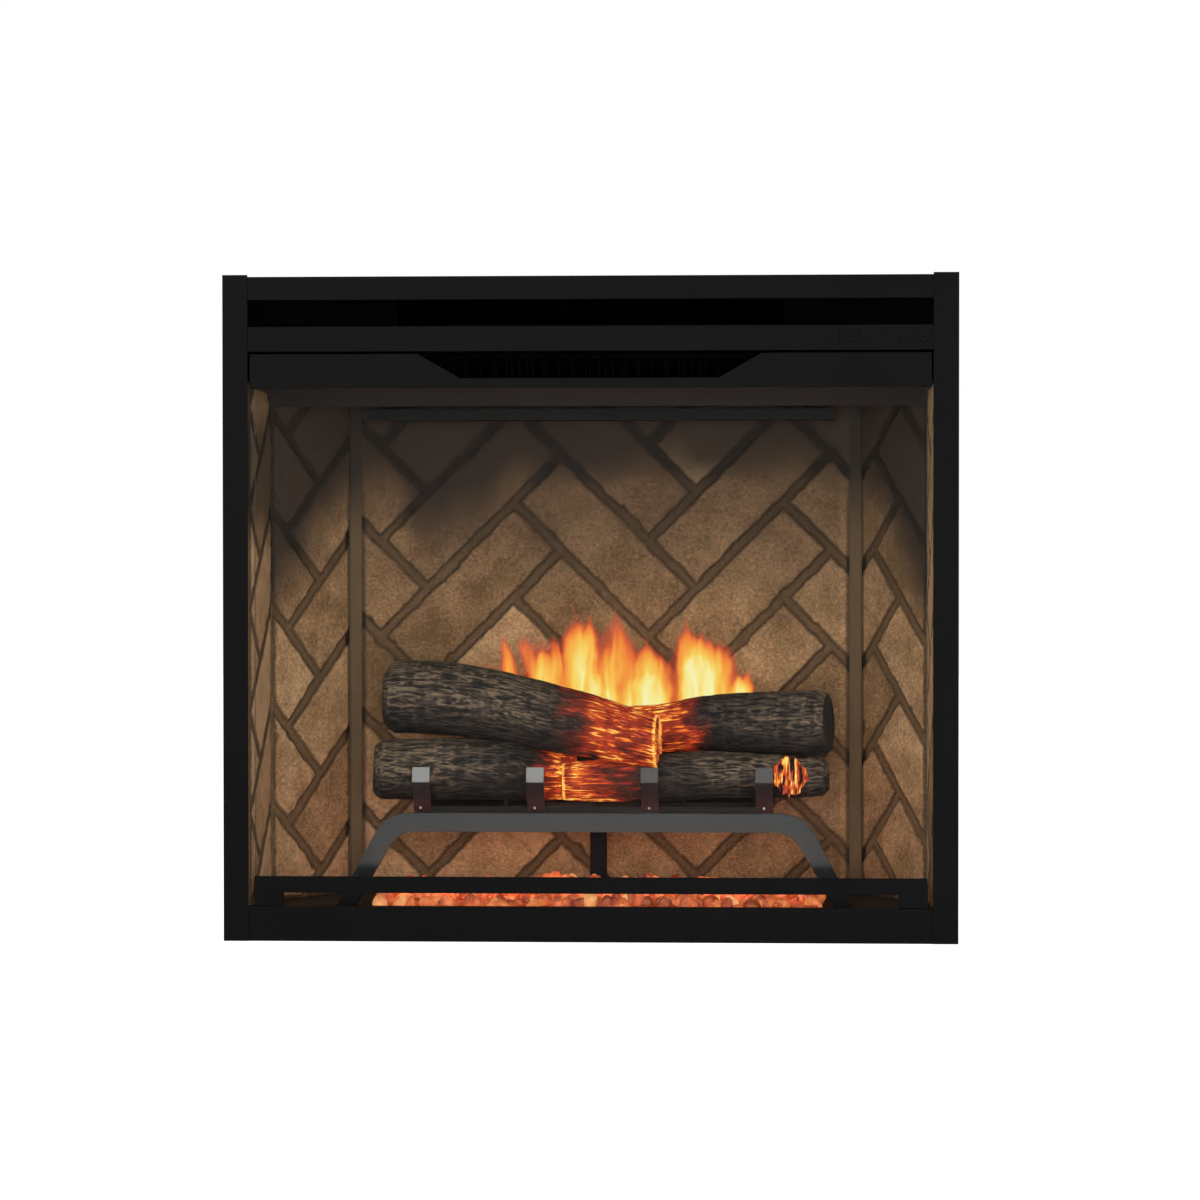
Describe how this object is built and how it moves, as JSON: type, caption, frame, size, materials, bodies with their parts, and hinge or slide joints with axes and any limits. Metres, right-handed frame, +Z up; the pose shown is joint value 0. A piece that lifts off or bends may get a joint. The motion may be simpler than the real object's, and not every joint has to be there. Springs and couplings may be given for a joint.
{
  "type": "electric fireplace insert",
  "caption": "Built-in electric firebox with a black steel frame, removable glass front, herringbone brick walls, glowing logs on a grate and a fan heater.",
  "frame": {"origin": "centre of the footprint at the underside of the casing", "axes": "+X to the viewer's right along the width, +Y from the glass front to the back, +Z up"},
  "size_m": [0.972, 0.341, 0.8815],
  "materials": {
    "frame_paint": "near-black satin powder coat with a fine even texture",
    "galvanised_sheet": "zinc-coated sheet with a faint spangle, dull",
    "liner_paint": "matt dark brown-black heat-resisting paint",
    "brick_face": "moulded herringbone panel, tan fired-clay bricks with darker recessed joints and soot towards the top",
    "trim_paint": "matt khaki-brown paint",
    "clear_glass": "clear float glass, polished edges",
    "clear_acrylic": "clear cast acrylic",
    "aluminium": "mill finish",
    "blackened_aluminium": "dark heat-blackened metal, dull",
    "mirror_foil": "bright reflective vanes",
    "black_plastic": "moulded, matt",
    "motor_steel": "plated can, satin",
    "circuit_board": "green solder mask",
    "ember_resin": "translucent orange resin lumps lit from below",
    "log_bark": "moulded charred bark, dark grey-brown with a fine lengthwise grain, glowing red where the logs meet",
    "grate_steel": "dark grey satin paint",
    "dark_lens": "dark infrared window, polished"
  },
  "bodies": {
    "root": {"base_pan": "galvanised_sheet", "top_panel": "galvanised_sheet", "rear_panel": "galvanised_sheet", "left_side_panel": "galvanised_sheet", "right_side_panel": "galvanised_sheet", "junction_box": "galvanised_sheet", "left_stile": "frame_paint", "right_stile": "frame_paint", "top_rail": "frame_paint", "heater_rail": "frame_paint", "bottom_rail": "frame_paint", "intake_baffle_left": "frame_paint", "intake_baffle_right": "frame_paint", "panel_top_channel": "frame_paint", "outlet_grille": "frame_paint", "heater_scroll": "frame_paint", "heater_duct_roof": "frame_paint", "heater_end_left": "frame_paint", "heater_end_right": "frame_paint", "hearth_floor": "liner_paint", "firebox_hood": "liner_paint", "brick_back_panel": "brick_face", "brick_rear_left": "brick_face", "brick_rear_right": "brick_face", "brick_front_left": "brick_face", "brick_front_right": "brick_face", "corner_trim_left": "trim_paint", "corner_trim_right": "trim_paint", "flame_panel": "clear_acrylic", "downlight_strip": "aluminium", "heating_element": "blackened_aluminium", "rod_bearing": "black_plastic", "cable_clamp": "black_plastic", "thermal_cutout": "black_plastic", "flicker_motor": "motor_steel", "blower_motor": "motor_steel", "flame_led_board": "circuit_board", "ember_led_board": "circuit_board", "log_led_board": "circuit_board", "control_board": "circuit_board", "ember_bed": "ember_resin", "log_upper_left": "log_bark", "log_upper_right": "log_bark", "log_lower_left": "log_bark", "log_lower_right": "log_bark", "grate_arch": "grate_steel", "grate_prong_1": "grate_steel", "grate_prong_2": "grate_steel", "grate_prong_3": "grate_steel", "grate_prong_4": "grate_steel", "log_shelf": "grate_steel", "ir_receiver_lens": "dark_lens"},
    "glass_front": {"glass_top_plate": "frame_paint", "glass_pane": "clear_glass", "glass_bottom_bracket": "frame_paint"},
    "flicker_rod_body": {"flicker_rod": "mirror_foil"},
    "blower": {"blower_wheel": "blackened_aluminium"},
    "button_left": {"button_1": "black_plastic"},
    "button_middle": {"button_2": "black_plastic"},
    "button_right": {"button_3": "black_plastic"}
  },
  "joints": [
    {"name": "glass_tilt", "type": "hinge", "parent": "root", "child": "glass_front", "pos_m": [0, -0.1665, 0.0465], "axis": [1, 0, 0], "range_deg": [0, 30]},
    {"name": "flicker_spin", "type": "hinge", "parent": "root", "child": "flicker_rod_body", "pos_m": [0, 0.0745, 0.02], "axis": [1, 0, 0], "continuous": true},
    {"name": "blower_spin", "type": "hinge", "parent": "root", "child": "blower", "pos_m": [0, 0.0055, 0.8], "axis": [1, 0, 0], "continuous": true},
    {"name": "button_left_press", "type": "slide", "parent": "root", "child": "button_left", "axis": [0, 1, 0], "range_m": [0, 0.0012], "stiffness_N_per_m": 300, "springref_m": -0.001},
    {"name": "button_middle_press", "type": "slide", "parent": "root", "child": "button_middle", "axis": [0, 1, 0], "range_m": [0, 0.0012], "stiffness_N_per_m": 300, "springref_m": -0.001},
    {"name": "button_right_press", "type": "slide", "parent": "root", "child": "button_right", "axis": [0, 1, 0], "range_m": [0, 0.0012], "stiffness_N_per_m": 300, "springref_m": -0.001}
  ]
}
